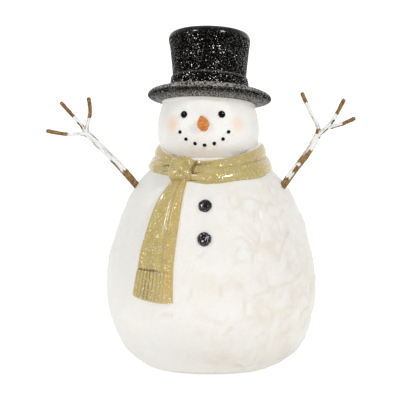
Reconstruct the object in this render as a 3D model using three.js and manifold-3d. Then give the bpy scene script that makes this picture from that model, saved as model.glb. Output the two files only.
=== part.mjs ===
// A standing snowman figurine: a pear-shaped body and a squashed head, a top hat tipped
// back on it, a tied scarf, a carrot nose, bead eyes, a dotted smile, two domed buttons and
// two forked twig arms that plug into sockets in the shoulders.
//
// Millimetres, +Z up. The origin is the middle of the flat base, the face looks along -Y,
// and "left" is the -X side. A direction round the figure is an azimuth in degrees from
// the front (-Y) towards +X.
import * as THREE from "three";
import { mergeVertices } from "three/addons/utils/BufferGeometryUtils.js";
import Module from "manifold-3d";

const wasm = await Module();
wasm.setup();

// ---- Driving dimensions -------------------------------------------------------------

const GAP = 0.3; // room left between pieces that touch

// Body: radius and height, from the edge of the flat base up to the neck.
const BODY_OUTLINE = [
  [40, 0], [54, 5], [75, 22], [88.6, 50], [91.6, 77], [88.4, 105],
  [75.2, 145], [66, 162], [58, 172.8], [50, 180.3], [40, 185.4], [34, 187],
];
// Head: radius and height above the same base, from under the chin up into the hat.
const HEAD_OUTLINE = [
  [30, 187.4], [37.5, 191.6], [42.6, 199], [45.2, 212], [43.4, 225], [40.8, 235], [40.2, 241],
];
const HEAD_X = -2.2; // the head leans a little to the left

// Hat: one turned outline, measured from the seat where it rests on the head.
const HAT_X = -1;
const SEAT_Z = 235.3;
const SEAT_TILT = 5; // degrees that the seat leans back
const HAT_TILT = 7.5; // degrees that the brim and crown lean back
const HAT_ROLL = 1.8; // degrees that the hat dips to the right
const CROWN_LEAN = -0.042; // sideways lean of the crown on its brim, a share of height
const CROWN_SLOPE = 0.02; // the crown's top rises to the right by this share
const BRIM_INNER = 40; // radius where the brim starts to curl
const BRIM_CURL = 1.8; // extra lift of the brim's front edge
const HAT_OUTLINE = [
  [0, 0], [39.5, 0], [51, 3], [54.1, 4.2], [54.8, 6], [53.9, 7.8], [51, 8],
  [42, 6.8], [33, 6.8], [32.8, 24], [33.6, 36], [35.2, 49], [36.6, 58.5], [35.9, 61.6],
  [33.6, 63.1], [18, 63.8], [0, 64.1],
];
const BAND_OUTLINE = [
  [33.3, 7.3], [35.6, 7.3], [36.1, 9], [35.2, 15], [34.3, 21.8], [33.9, 23.2], [33.2, 23.2],
];

// Scarf. The wrap round the neck, every 45 degrees from the front: the radius and height of
// its inner bottom edge, which sinks into the body, the radius and height of its inner top
// edge, and how thick it is. Its section is [share of the thickness, share of the height].
const WRAP = [
  [64, 162.4, 47.5, 182, 7.2], [59.5, 167.2, 44.8, 190.2, 6.4],
  [50, 173.4, 41.5, 200.4, 6.2], [48.5, 177, 40.5, 203, 6],
  [48, 178, 40.5, 204, 6], [48.5, 177.4, 40.5, 203, 6],
  [50, 174.4, 41.5, 200, 6.2], [56.5, 171, 44.8, 188.6, 6.4],
];
const WRAP_SECTION = [
  [-0.6, 0.03], [0.15, 0], [0.75, 0.1], [1, 0.28], [0.88, 0.46],
  [0.72, 0.56], [0.86, 0.68], [0.78, 0.86], [0.3, 0.98], [-0.6, 1.05],
];
// The knot and the hanging tail, whose edges are [azimuth, height] pairs.
const KNOT = { azimuth: -19.6, radius: 59.5, z: 175.4, width: 11, depth: 9, height: 11.5, lean: 32 };
const TAIL_LEFT = [[-23.2, 168], [-28.4, 157], [-33.1, 141], [-36, 110], [-36.8, 93], [-40, 69.5]];
const TAIL_RIGHT = [[-13.6, 168], [-14.2, 154], [-14.6, 139], [-14.9, 107], [-15, 90], [-15, 62.5]];
const TAIL_THICK = 4;
const TAIL_CLEAR = 0.65; // room behind the tail, more than a body facet's bulge

// Face and buttons: sizes, with azimuths and heights of their centres.
const EYE = { radius: 3, bulge: 1.6, z: 224, left: -22.8, right: 20.2 };
const DOT = { radius: 1.5, bulge: 1 };
const SMILE = [
  [-28.2, 208.6], [-21.3, 202.4], [-10.8, 198.6], [0.3, 197.1], [11.4, 198.6], [21.3, 202.4], [27.3, 208.6],
];
const NOSE = { radius: 5.6, length: 13.5, x: -0.6, z: 214.1, tilt: 32 };
const BUTTONS = {
  upper: { radius: 5.6, bulge: 4, azimuth: 0.8, z: 145 },
  lower: { radius: 6, bulge: 4, azimuth: 0.8, z: 117.3 },
};

// Arms: the centre lines of the stems and twigs. A stem is carried on into its socket.
const STEM_RADIUS = 2.8;
const TWIG_RADIUS = 1.45;
const SOCKET_DEPTH = 13;
const ARMS = {
  left: {
    stem: [[-63.6, -15, 162], [-78.2, -15, 178.8], [-93.2, -15, 194], [-109.2, -15, 209.2]],
    outer: [[-107.5, -15, 207.6], [-115, -16.5, 208.6], [-126, -19.5, 208], [-143, -25, 210.8]],
    middle: [[-107.8, -15, 207.8], [-112, -14.5, 214], [-120.5, -11, 223.4], [-133.6, -6, 237]],
    inner: [[-108, -15, 208], [-108.4, -15, 215], [-105.3, -17, 227], [-106.4, -19, 240.4]],
  },
  right: {
    stem: [[64.4, -15, 162.2], [75.3, -15, 177.4], [86.3, -15, 191.9], [96.3, -15, 209.2]],
    inner: [[95.2, -15, 207.4], [94.4, -14.5, 215], [88.5, -12.5, 226.6], [80.7, -8, 244.2]],
    middle: [[95.6, -15, 207], [103, -16, 213.6], [109.4, -17, 221.8], [117.9, -19, 237.8]],
    outer: [[103.4, -15.5, 213.2], [110.4, -18, 214.6], [118.2, -21, 216.8], [127, -25, 220.8]],
  },
};

// How finely each round piece is faceted: its sides, and the rings of the two snowballs.
const BODY_TURNS = 40;
const BODY_RINGS = 22;
const HEAD_TURNS = 32;
const HEAD_RINGS = 12;
const HAT_TURNS = 32;
const WRAP_TURNS = 32;
const KNOT_TURNS = 14;
const KNOT_RINGS = 10;
const NOSE_TURNS = 14;
const EYE_TURNS = 12;
const DOT_TURNS = 8;
const BUTTON_TURNS = 16;
const TAIL_COLUMNS = 5;
const TAIL_ROWS = 16;

// ---- Solids and booleans ------------------------------------------------------------

// A closed geometry as a solid that can be joined and cut.
function solidOf(geometry) {
  const bare = geometry.clone();
  bare.deleteAttribute("normal");
  bare.deleteAttribute("uv");
  const merged = mergeVertices(bare, 1e-3);
  return new wasm.Manifold(new wasm.Mesh({
    numProp: 3,
    vertProperties: new Float32Array(merged.attributes.position.array),
    triVerts: new Uint32Array(merged.index.array),
  }));
}

function geometryOf(solid) {
  const mesh = solid.getMesh();
  const geometry = new THREE.BufferGeometry();
  geometry.setAttribute("position", new THREE.BufferAttribute(mesh.vertProperties, 3));
  geometry.setIndex(new THREE.BufferAttribute(mesh.triVerts, 1));
  geometry.computeVertexNormals();
  return geometry;
}

// The biggest body of a solid, so that a cut leaves no loose slivers.
function mainBody(solid) {
  const bodies = solid.decompose();
  bodies.sort((a, b) => b.volume() - a.volume());
  return bodies[0];
}

// ---- Shape helpers ------------------------------------------------------------------

const radians = THREE.MathUtils.degToRad;

// [radius, height] pairs as points.
const outline = (pairs) => pairs.map(([r, z]) => new THREE.Vector2(r, z));

// A smooth curve through [radius, height] pairs, as count + 1 points.
function smoothOutline(pairs, count) {
  return new THREE.SplineCurve(outline(pairs)).getSpacedPoints(count);
}

// A solid turned about +Z from an outline that runs upwards.
function turned(points, turns) {
  return new THREE.LatheGeometry(points, turns).rotateX(Math.PI / 2);
}

// A solid of revolution with a flat bottom and top, closed on the axis.
function turnedSolid(points, turns) {
  const bottom = new THREE.Vector2(0, points[0].y);
  const top = new THREE.Vector2(0, points[points.length - 1].y);
  return turned([bottom, ...points, top], turns);
}

// Moves every vertex of a geometry by a function of its place.
function reshape(geometry, place) {
  const position = geometry.attributes.position;
  const p = new THREE.Vector3();
  for (let i = 0; i < position.count; i++) {
    p.fromBufferAttribute(position, i);
    place(p);
    position.setXYZ(i, p.x, p.y, p.z);
  }
  return geometry;
}

// The point at an azimuth, a radius from the axis and a height.
function around(azimuth, radius, z, target = new THREE.Vector3()) {
  const a = radians(azimuth);
  return target.set(radius * Math.sin(a), -radius * Math.cos(a), z);
}

// The radius of a turned outline at a height.
function radiusAt(points, z) {
  const i = points.findIndex((p) => p.y >= z);
  if (i <= 0) return points[Math.max(i, 0)].x;
  const [a, b] = [points[i - 1], points[i]];
  return a.x + ((b.x - a.x) * (z - a.y)) / (b.y - a.y);
}

// How fast a turned outline widens with height, read over a few millimetres.
function slopeAt(points, z) {
  const reach = 3;
  return (radiusAt(points, z + reach) - radiusAt(points, z - reach)) / (2 * reach);
}

// An outline moved outwards by a distance, along its normals.
function grown(points, distance) {
  return points.map((p, i) => {
    const before = points[Math.max(i - 1, 0)];
    const after = points[Math.min(i + 1, points.length - 1)];
    const along = new THREE.Vector2().subVectors(after, before).normalize();
    return new THREE.Vector2(p.x + along.y * distance, p.y - along.x * distance);
  });
}

// A rod of eight sides along a smooth route of points.
function rod(route, radius, steps) {
  const section = new THREE.Shape().absarc(0, 0, radius, 0, 2 * Math.PI);
  const extrudePath = new THREE.CatmullRomCurve3(route);
  const curveSegments = 4; // an arc takes two sides for each
  return new THREE.ExtrudeGeometry(section, { steps, curveSegments, bevelEnabled: false, extrudePath });
}

function finish(color, roughness, metalness = 0) {
  return new THREE.MeshStandardMaterial({ color, roughness, metalness });
}

const snowPaint = finish(0xf2efe8, 0.6);
const hatPaint = finish(0x181817, 0.35);
const scarfPaint = finish(0xbfa968, 0.4);
const nosePaint = finish(0xd0762f, 0.5);
const beadPaint = finish(0x0c0c0c, 0.25);
const barkPaint = finish(0x8f6a3c, 0.75);

function node(name, geometry, material) {
  const mesh = new THREE.Mesh(geometry, material);
  mesh.name = name;
  return mesh;
}

// ---- Body and head ------------------------------------------------------------------

const bodyPoints = smoothOutline(BODY_OUTLINE, BODY_RINGS);
const headPoints = smoothOutline(HEAD_OUTLINE, HEAD_RINGS);
const bodySolid = (points) => solidOf(turnedSolid(points, BODY_TURNS));
const headSolid = (points) => solidOf(turnedSolid(points, HEAD_TURNS)).translate([HEAD_X, 0, 0]);
const bodyGrown = bodySolid(grown(bodyPoints, GAP));
const headGrown = headSolid(grown(headPoints, GAP));

// ---- Hat ----------------------------------------------------------------------------

const hatRadius = Math.max(...HAT_OUTLINE.map(([r]) => r));
const hatHeight = Math.max(...HAT_OUTLINE.map(([, z]) => z));

// Leans a point of the upright hat back and sideways about the seat, and curls the brim.
function setHat(p) {
  const radius = Math.hypot(p.x, p.y);
  const brim = Math.max(0, (radius - BRIM_INNER) / (hatRadius - BRIM_INNER));
  const front = Math.max(0, -p.y / Math.max(radius, 1));
  const tilt = THREE.MathUtils.lerp(SEAT_TILT, HAT_TILT, THREE.MathUtils.smoothstep(p.z, 0, 6));
  p.z += CROWN_SLOPE * p.x * (p.z / hatHeight);
  p.x += CROWN_LEAN * p.z;
  p.z += BRIM_CURL * brim * brim * front * front;
  p.applyAxisAngle(new THREE.Vector3(1, 0, 0), radians(-tilt));
  p.applyAxisAngle(new THREE.Vector3(0, 1, 0), radians(HAT_ROLL));
  p.add(new THREE.Vector3(HAT_X, 0, SEAT_Z));
}

const hatGeometry = reshape(turned(outline(HAT_OUTLINE), HAT_TURNS), setHat);
const bandRing = outline([...BAND_OUTLINE, BAND_OUTLINE[0]]);
const bandGeometry = reshape(turned(bandRing, HAT_TURNS), setHat);
// The head is trimmed to the hat's seat.
const head = headSolid(headPoints).subtract(solidOf(hatGeometry).translate([0, 0, -GAP]));

// ---- Scarf --------------------------------------------------------------------------

// A smooth closed edge through [radius, height] pairs spaced evenly round from the front.
function edgeLoop(pairs) {
  const step = 360 / pairs.length;
  return new THREE.CatmullRomCurve3(pairs.map(([r, z], i) => around(i * step, r, z)), true);
}

const wrapBottom = edgeLoop(WRAP.map(([r, z]) => [r, z]));
const wrapTop = edgeLoop(WRAP.map(([, , r, z]) => [r, z]));

// The wrap's thickness at a share of a turn, eased between its stated values.
function wrapThickness(turn) {
  const at = turn * WRAP.length;
  const i = Math.floor(at) % WRAP.length;
  const next = (i + 1) % WRAP.length;
  return THREE.MathUtils.lerp(WRAP[i][4], WRAP[next][4], THREE.MathUtils.smoothstep(at % 1, 0, 1));
}

// The wrap round the neck: a section of two rolls, swept from the bottom edge to the top
// edge. Extra thickness all over makes the room that its neighbours are cut by.
function wrapGeometry(extra) {
  const core = 10; // radius of the plain ring before it is laid on the shoulders
  const section = outline([...WRAP_SECTION, WRAP_SECTION[0]]);
  section.forEach((p) => p.set(core + p.x, p.y));
  const out = new THREE.Vector3();
  return reshape(turned(section, WRAP_TURNS), (p) => {
    const turn = THREE.MathUtils.euclideanModulo(Math.atan2(p.x, -p.y) / (2 * Math.PI), 1);
    const thick = (Math.hypot(p.x, p.y) - core) * wrapThickness(turn);
    const low = wrapBottom.getPoint(turn);
    const chord = wrapTop.getPoint(turn).sub(low);
    const up = p.z + (2 * p.z - 1) * (extra / chord.length());
    out.set(p.x, p.y, 0).projectOnPlane(chord.clone().normalize()).normalize();
    p.copy(low).addScaledVector(chord, up).addScaledVector(out, thick + Math.sign(thick) * extra);
  });
}

// The knot: a rounded block that leans back with the chest.
function knotGeometry(extra) {
  const round = 0.72; // below 1 squares the ball's corners
  const shape = new THREE.SphereGeometry(1, KNOT_TURNS, KNOT_RINGS);
  const squared = (v) => Math.sign(v) * Math.abs(v) ** round;
  reshape(shape, (p) => p.set(squared(p.x), squared(p.y), squared(p.z)));
  shape.scale(KNOT.width + extra, KNOT.depth + extra, KNOT.height + extra);
  shape.rotateX(radians(-KNOT.lean));
  shape.rotateZ(radians(KNOT.azimuth));
  const at = around(KNOT.azimuth, KNOT.radius, KNOT.z);
  return shape.translate(at.x, at.y, at.z);
}

// The hanging tail: a slab that follows the chest between a left and a right edge.
function tailGeometry() {
  const left = new THREE.SplineCurve(outline(TAIL_LEFT));
  const right = new THREE.SplineCurve(outline(TAIL_RIGHT));
  const slab = new THREE.BoxGeometry(1, 1, 1, TAIL_COLUMNS, 1, TAIL_ROWS);
  return reshape(slab, (p) => {
    const down = 0.5 - p.z;
    const a = left.getPoint(down);
    const b = right.getPoint(down);
    const azimuth = THREE.MathUtils.lerp(a.x, b.x, p.x + 0.5);
    const z = THREE.MathUtils.lerp(a.y, b.y, p.x + 0.5);
    const normal = new THREE.Vector2(1, -slopeAt(bodyPoints, z)).normalize();
    const off = TAIL_CLEAR + (0.5 - p.y) * TAIL_THICK;
    around(azimuth, radiusAt(bodyPoints, z) + normal.x * off, z + normal.y * off, p);
  });
}

const wrap = mainBody(solidOf(wrapGeometry(0)).subtract(bodyGrown).subtract(headGrown));
const wrapGrown = solidOf(wrapGeometry(GAP));
const knot = mainBody(
  solidOf(knotGeometry(0)).subtract(wrapGrown).subtract(bodyGrown).subtract(headGrown),
);
const tail = mainBody(
  solidOf(tailGeometry()).subtract(wrapGrown).subtract(solidOf(knotGeometry(GAP))),
);

// ---- Nose, eyes, smile and buttons --------------------------------------------------

// A stubby carrot whose tip turns up. Its root is trimmed to the curve of the face.
function noseGeometry() {
  const { radius, length } = NOSE;
  const root = -3; // the carrot starts this far inside the face
  const carrot = outline([
    [0, root], [radius * 0.9, root], [radius, 0], [radius * 0.93, length * 0.25],
    [radius * 0.7, length * 0.55], [radius * 0.4, length * 0.82], [radius * 0.16, length * 0.97], [0, length],
  ]);
  const cone = turned(carrot, NOSE_TURNS).rotateX(radians(90 - NOSE.tilt)); // from upwards to forwards
  return cone.translate(HEAD_X + NOSE.x, 1 - radiusAt(headPoints, NOSE.z), NOSE.z);
}

const nose = mainBody(solidOf(noseGeometry()).subtract(headGrown));

// A domed bead with a flat back, whose dome points along +Z.
function domeGeometry({ radius, bulge }, sides) {
  const dome = [
    [0, 0], [radius * 0.94, 0], [radius, bulge * 0.25], [radius * 0.86, bulge * 0.62],
    [radius * 0.5, bulge * 0.92], [0, bulge],
  ];
  return turned(outline(dome), sides);
}

// Seats a dome on a turned surface, its flat back just clear of the curve behind it.
function seated(mesh, points, centreX, azimuth, z, radius) {
  const surface = radiusAt(points, z);
  const slope = Math.atan(slopeAt(points, z));
  const behind = (radius * radius) / (2 * surface);
  around(azimuth, surface + behind + 1.5 * GAP, z, mesh.position);
  mesh.position.x += centreX;
  mesh.rotation.order = "ZYX";
  mesh.rotation.set(Math.PI / 2 + slope, 0, radians(azimuth));
  return mesh;
}

const face = new THREE.Group();
for (const side of ["left", "right"]) {
  const eye = node("eye_" + side, domeGeometry(EYE, EYE_TURNS), beadPaint);
  face.add(seated(eye, headPoints, HEAD_X, EYE[side], EYE.z, EYE.radius));
}
SMILE.forEach(([azimuth, z], i) => {
  const dot = node("mouth_" + (i + 1), domeGeometry(DOT, DOT_TURNS), beadPaint);
  face.add(seated(dot, headPoints, HEAD_X, azimuth, z, DOT.radius));
});
face.add(node("nose", geometryOf(nose), nosePaint));

const buttons = new THREE.Group();
for (const [place, size] of Object.entries(BUTTONS)) {
  const button = node("button_" + place, domeGeometry(size, BUTTON_TURNS), beadPaint);
  buttons.add(seated(button, bodyPoints, 0, size.azimuth, size.z, size.radius));
}

// ---- Arms ---------------------------------------------------------------------------

const points3 = (route) => route.map((p) => new THREE.Vector3(...p));

// A stem's route, carried straight on into the body by the socket's depth.
function stemRoute(route) {
  const points = points3(route);
  const inward = new THREE.Vector3().subVectors(points[0], points[1]).normalize();
  return [points[0].clone().addScaledVector(inward, SOCKET_DEPTH), ...points];
}

const STEM_STEPS = 12;
const TWIG_STEPS = 9;
const arms = new THREE.Group();
let body = bodySolid(bodyPoints);
for (const [side, { stem, ...twigs }] of Object.entries(ARMS)) {
  const route = stemRoute(stem);
  const arm = new THREE.Group();
  arm.add(node(`arm_${side}_stem`, rod(route, STEM_RADIUS, STEM_STEPS), barkPaint));
  const room = solidOf(rod(route, STEM_RADIUS + GAP, STEM_STEPS));
  body = body.subtract(room);
  const inTheWay = [room];
  for (const [name, twigRoute] of Object.entries(twigs)) {
    let twig = solidOf(rod(points3(twigRoute), TWIG_RADIUS, TWIG_STEPS));
    for (const other of inTheWay) twig = twig.subtract(other);
    inTheWay.push(solidOf(rod(points3(twigRoute), TWIG_RADIUS + GAP, TWIG_STEPS)));
    arm.add(node(`arm_${side}_twig_${name}`, geometryOf(mainBody(twig)), barkPaint));
  }
  arms.add(arm);
}

// ---- The figurine -------------------------------------------------------------------

const snowman = new THREE.Group();
snowman.add(
  node("body", geometryOf(body), snowPaint),
  node("head", geometryOf(mainBody(head)), snowPaint),
  node("hat", hatGeometry, hatPaint),
  node("hat_band", bandGeometry, hatPaint),
  node("scarf_wrap", geometryOf(wrap), scarfPaint),
  node("scarf_knot", geometryOf(knot), scarfPaint),
  node("scarf_tail", geometryOf(tail), scarfPaint),
  face,
  buttons,
  arms,
);

export default snowman;
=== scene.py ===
# %% [markdown]
# # A cast and painted snowman
#
# The object is a shelf figurine: a snowball body and a squashed head cast in resin, painted
# warm white and sprinkled with glitter, with a black glitter hat, a gold scarf modelled in
# relief, a carrot nose, bead eyes, a dotted smile, two buttons and two twig arms.
#
# The engineering model already fixes where every part is and how big it is. This lesson
# keeps those sizes and builds the surface that people see: palm prints in the snow, folds in
# the scarf, bark on the twigs, and paint and glitter on all of it.

# %% Load the fixed frame
import math
import bmesh
import bpy
import numpy as np
from mathutils import Euler, Matrix, Vector, noise


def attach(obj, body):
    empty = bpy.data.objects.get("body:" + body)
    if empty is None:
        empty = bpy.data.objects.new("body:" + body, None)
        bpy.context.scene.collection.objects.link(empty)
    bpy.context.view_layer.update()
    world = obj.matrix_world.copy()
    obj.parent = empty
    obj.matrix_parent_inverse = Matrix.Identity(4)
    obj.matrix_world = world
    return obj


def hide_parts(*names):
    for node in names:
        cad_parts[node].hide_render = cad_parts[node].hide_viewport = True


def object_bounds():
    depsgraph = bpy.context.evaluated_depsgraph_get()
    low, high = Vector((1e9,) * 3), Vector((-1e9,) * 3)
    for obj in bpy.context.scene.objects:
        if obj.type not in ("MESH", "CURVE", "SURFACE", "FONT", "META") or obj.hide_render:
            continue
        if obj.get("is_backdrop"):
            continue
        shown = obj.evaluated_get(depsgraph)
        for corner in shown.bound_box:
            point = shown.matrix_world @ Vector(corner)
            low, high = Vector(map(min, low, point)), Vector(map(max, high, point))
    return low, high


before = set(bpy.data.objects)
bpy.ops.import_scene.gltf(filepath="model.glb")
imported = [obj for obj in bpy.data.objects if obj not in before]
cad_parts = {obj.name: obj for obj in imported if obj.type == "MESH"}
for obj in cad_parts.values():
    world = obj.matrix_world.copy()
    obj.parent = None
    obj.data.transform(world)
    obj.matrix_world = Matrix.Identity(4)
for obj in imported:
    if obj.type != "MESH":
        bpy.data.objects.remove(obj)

MM = 0.001   # the drawings below are in millimetres, and Blender works in metres
SEED = 11
noise.seed_set(SEED)   # without a seed, noise_vector takes its offsets from the clock
cad_low, cad_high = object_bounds()
print("parts:", len(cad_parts), "box:", [round(v, 4) for v in (*cad_low, *cad_high)])

# %% [markdown]
# ## The camera
#
# A long lens from far off keeps the figurine's proportions natural. It stands level with the
# middle of the figurine and a few degrees round to the figurine's left-hand side, so that
# the face is seen almost straight on.

# %% Place the camera
SENSOR = 36.0
VIEW_TURN = math.radians(4.8)   # how far round from straight ahead
VIEW_DISTANCE = 1.35
VIEW_HEIGHT = 0.150
VIEW_WIDTH = 0.3548             # how much is seen from side to side at the figurine's axis
SIDE_STEP = -0.0095             # the figurine stands a little off the middle of the view


def linked(name, data):
    """A new object that shows the data, linked to the scene."""
    made = bpy.data.objects.new(name, data)
    bpy.context.scene.collection.objects.link(made)
    return made


right = Vector((math.cos(VIEW_TURN), math.sin(VIEW_TURN), 0))
ahead = Vector((-math.sin(VIEW_TURN), math.cos(VIEW_TURN), 0))
camera = linked("camera", bpy.data.cameras.new("camera"))
camera.location = right * SIDE_STEP + Vector((0, 0, VIEW_HEIGHT)) - ahead * VIEW_DISTANCE
camera.rotation_euler = Euler((math.pi / 2, 0, VIEW_TURN))
camera.data.sensor_width = SENSOR
camera.data.lens = SENSOR * VIEW_DISTANCE / VIEW_WIDTH
camera.data.clip_start, camera.data.clip_end = 0.05, 20
bpy.context.scene.camera = camera
print("lens:", round(camera.data.lens, 1), "mm")

# %% [markdown]
# ## Materials as written maths
#
# A node material is a small program. Drawing it with dozens of lines of "new node, new link"
# hides what it says, so three helpers let it be written as ordinary expressions. `Wire`
# stands for one socket, and adding or multiplying wires adds the Math nodes. `Nodes` is a
# node tree, whose `node` method makes any other node. `Finish` is the tree of one material
# and its Principled shader.

# %% A wire that does arithmetic
class Wire:
    """One output socket in a node tree. Arithmetic on it adds Math nodes to that tree."""

    def __init__(self, nodes, socket):
        self.nodes, self.socket = nodes, socket

    def __add__(self, other):
        return self.nodes.maths("ADD", self, other)

    def __sub__(self, other):
        return self.nodes.maths("SUBTRACT", self, other)

    def __rsub__(self, other):
        return self.nodes.maths("SUBTRACT", other, self)

    def __mul__(self, other):
        return self.nodes.maths("MULTIPLY", self, other)

    def __gt__(self, other):
        return self.nodes.maths("GREATER_THAN", self, other)

    __radd__, __rmul__ = __add__, __mul__

    def ramp(self, low, high):
        """0 below low, 1 above high, and a smooth step between them."""
        return self.nodes.wire(
            "ShaderNodeMapRange", {"interpolation_type": "SMOOTHSTEP"},
            {"Value": self, "From Min": low, "From Max": high})


# %% A node tree
class Nodes:
    """A node tree that is written as expressions."""

    def __init__(self, tree):
        self.tree = tree

    def node(self, kind, settings=None, sockets=None):
        """Any node: its settings first, then the values or wires of its sockets."""
        made = self.tree.nodes.new(kind)
        for name, value in (settings or {}).items():
            setattr(made, name, value)
        for name, value in (sockets or {}).items():
            self.feed(made.inputs[name], value)
        return made

    def wire(self, kind, settings=None, sockets=None, output=0):
        """One output of a new node."""
        return Wire(self, self.node(kind, settings, sockets).outputs[output])

    def feed(self, socket, value):
        if isinstance(value, Wire):
            self.tree.links.new(value.socket, socket)
        else:
            socket.default_value = value

    def maths(self, operation, a, b):
        return self.wire("ShaderNodeMath", {"operation": operation}, {0: a, 1: b})

    def vector(self, operation, a, b=(0, 0, 0), output=0):
        return self.wire(
            "ShaderNodeVectorMath", {"operation": operation}, {0: a, 1: b}, output)

    def mix(self, share, a, b):
        """Colour a at share 0 and colour b at share 1."""
        colours = {6: a if isinstance(a, Wire) else (*a, 1),
                   7: b if isinstance(b, Wire) else (*b, 1)}
        return self.wire("ShaderNodeMix", {"data_type": "RGBA"}, {0: share, **colours}, 2)


# %% A finish
class Finish(Nodes):
    """A material, built round its Principled shader."""

    def __init__(self, name, **constants):
        self.material = bpy.data.materials.new(name)
        self.material.use_nodes = True
        super().__init__(self.material.node_tree)
        self.shader = self.tree.nodes["Principled BSDF"]
        self.place = self.wire("ShaderNodeTexCoord", output="Object")
        self.paint(**constants)

    def paint(self, **sockets):
        """Gives the shader's sockets numbers, or the wires of what varies over the surface.
        The word shine stands for the strength of its mirror."""
        for word, value in sockets.items():
            socket = {"shine": "Specular IOR Level"}.get(word, word.replace("_", " ").title())
            self.feed(self.shader.inputs[socket], value)
        return self

    def noise(self, size, detail=3, stretch=(1, 1, 1)):
        """A cloudy pattern from 0 to 1 whose blotches are about size millimetres across."""
        scaled = self.vector("MULTIPLY", self.place, stretch)
        return self.wire("ShaderNodeTexNoise", None, {
            "Vector": scaled, "Scale": 1 / (size * MM), "Detail": detail})

    def mask(self, name):
        """A number that the mesh carries at each of its points."""
        return self.wire("ShaderNodeAttribute", {"attribute_name": name}, output="Fac")

    def near(self, point, inner, outer):
        """1 within inner millimetres of a point, fading to 0 at outer."""
        away = self.vector(
            "DISTANCE", self.place, tuple(v * MM for v in point), output="Value")
        return 1 - away.ramp(inner * MM, outer * MM)

    def bump(self, height, depth, normal=None):
        """A normal that follows a height from 0 to 1, depth millimetres deep."""
        under = {"Normal": normal} if normal else {}
        return self.wire("ShaderNodeBump", None, {
            "Height": height, "Distance": depth * MM, "Strength": 1.0, **under})

    def cells(self, size):
        """A pattern of cells about size millimetres across: how far a place is from the middle
        of its cell, as a share of the size, and the cell's own random colour and number."""
        cells = self.node("ShaderNodeTexVoronoi", None, {
            "Vector": self.place, "Scale": 1 / (size * MM)})
        away, colour = (Wire(self, cells.outputs[name]) for name in ("Distance", "Color"))
        return away, colour, self.wire("ShaderNodeSeparateColor", None, {0: colour})

    def flakes(self, size, share, tilt):
        """Glitter: 1 on the share of small cells that hold a flake, and a normal on which
        every flake leans its own way."""
        _, colour, chance = self.cells(size)
        held = chance > (1 - share)
        lean = self.vector("SUBTRACT", colour, (0.5, 0.5, 0.5))
        lean = self.wire("ShaderNodeVectorMath", {"operation": "SCALE"},
                         {0: lean, "Scale": held * tilt})
        normal = self.vector("ADD", lean, self.wire("ShaderNodeNewGeometry", output="Normal"))
        return held, self.vector("NORMALIZE", normal)


def paint_colour(red, green, blue):
    """A paint chip given in ordinary screen values as the linear colour that a shader takes."""
    return tuple(((v / 255 + 0.055) / 1.055) ** 2.4 for v in (red, green, blue))


# %% [markdown]
# ## The studio
#
# A wide sweep of paper runs under and behind the figurine. It glows, as paper under strong
# lights would, so that it stays plain white: brightest behind, less near the figurine, and
# least in front, where it would only wash out the glossy blacks. Small square soft boxes
# stand high on the left and the right, a low one in front fills the underside of the brim,
# and a wide weak one hangs overhead. The room is pale all round but darker on the camera's
# side, and that keeps the hat's front black while its sides pick up the white sweep.

# %% The sweep
def as_object(name, bm):
    """A bmesh as an object with its faces turned outwards. The bmesh is used up."""
    bmesh.ops.recalc_face_normals(bm, faces=bm.faces)
    mesh = bpy.data.meshes.new(name)
    bm.to_mesh(mesh)
    bm.free()
    return linked(name, mesh)


def grey(level):
    return level, level, level


SWEEP_HALF = 5.0
sweep_line = [(-5.0, 0.0), (1.8, 0.0), (2.1, 0.08), (2.3, 0.3), (2.4, 0.6), (2.4, 2.6)]
bm = bmesh.new()
edge = [bm.verts.new((-SWEEP_HALF, y, z)) for y, z in sweep_line]
run = [bm.edges.new(pair) for pair in zip(edge, edge[1:])]
swept = bmesh.ops.extrude_edge_only(bm, edges=run)["geom"]
bmesh.ops.translate(bm, vec=(2 * SWEEP_HALF, 0, 0),
                    verts=[v for v in swept if isinstance(v, bmesh.types.BMVert)])
sweep = as_object("sweep", bm)
sweep.data.shade_smooth()
paper = Finish("sweep paper", roughness=1.0, emission_strength=1.0)
back = paper.wire("ShaderNodeSeparateXYZ", None, {0: paper.place}, "Y")
glow = paper.mix(back.ramp(0.2, 0.8), grey(0.78), grey(1.0))
paper.paint(base_color=paper.mix(paper.noise(300), grey(0.36), grey(0.34)),
            emission_color=paper.mix(back.ramp(-0.42, -0.26), grey(0.3), glow))
sweep.data.materials.append(paper.material)
sweep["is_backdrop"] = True
print("sweep:", len(sweep.data.polygons), "faces")


# %% The lights
LIGHTS_AIM = Vector((0, 0, 0.16))


def soft_box(name, place, size, watts):
    """A soft light of a width and a height that faces the figurine."""
    light = bpy.data.lights.new(name, "AREA")
    light.shape = "RECTANGLE"
    light.size, light.size_y = size
    light.energy = watts
    box = linked(name, light)
    box.location = place
    box.rotation_euler = (LIGHTS_AIM - box.location).to_track_quat("-Z", "Y").to_euler()


soft_box("key", (-0.8, -0.95, 1.0), (0.24, 0.24), 5.6)
soft_box("fill", (0.9, -0.9, 0.95), (0.24, 0.24), 8.0)
soft_box("front", (-0.4, -1.6, 0.3), (0.24, 0.24), 4.4)
soft_box("top", (0.0, 0.2, 1.6), (1.2, 1.0), 2)

world = bpy.data.worlds.new("room")
bpy.context.scene.world = world
world.use_nodes = True
room = Nodes(world.node_tree)
sky = room.tree.nodes["Background"]
direction = room.wire("ShaderNodeTexCoord", output="Generated")
back = room.wire("ShaderNodeSeparateXYZ", None, {0: direction}, "Y")
share = room.wire("ShaderNodeMapRange", None, {"Value": back, "From Min": -0.9, "From Max": 0.1})
camera_side, sides_and_back = grey(0.08), grey(1.0)
room.feed(sky.inputs["Color"], room.mix(share, camera_side, sides_and_back))
room.feed(sky.inputs["Strength"], 0.55)
bpy.context.scene.view_settings.view_transform = "Standard"

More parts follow.
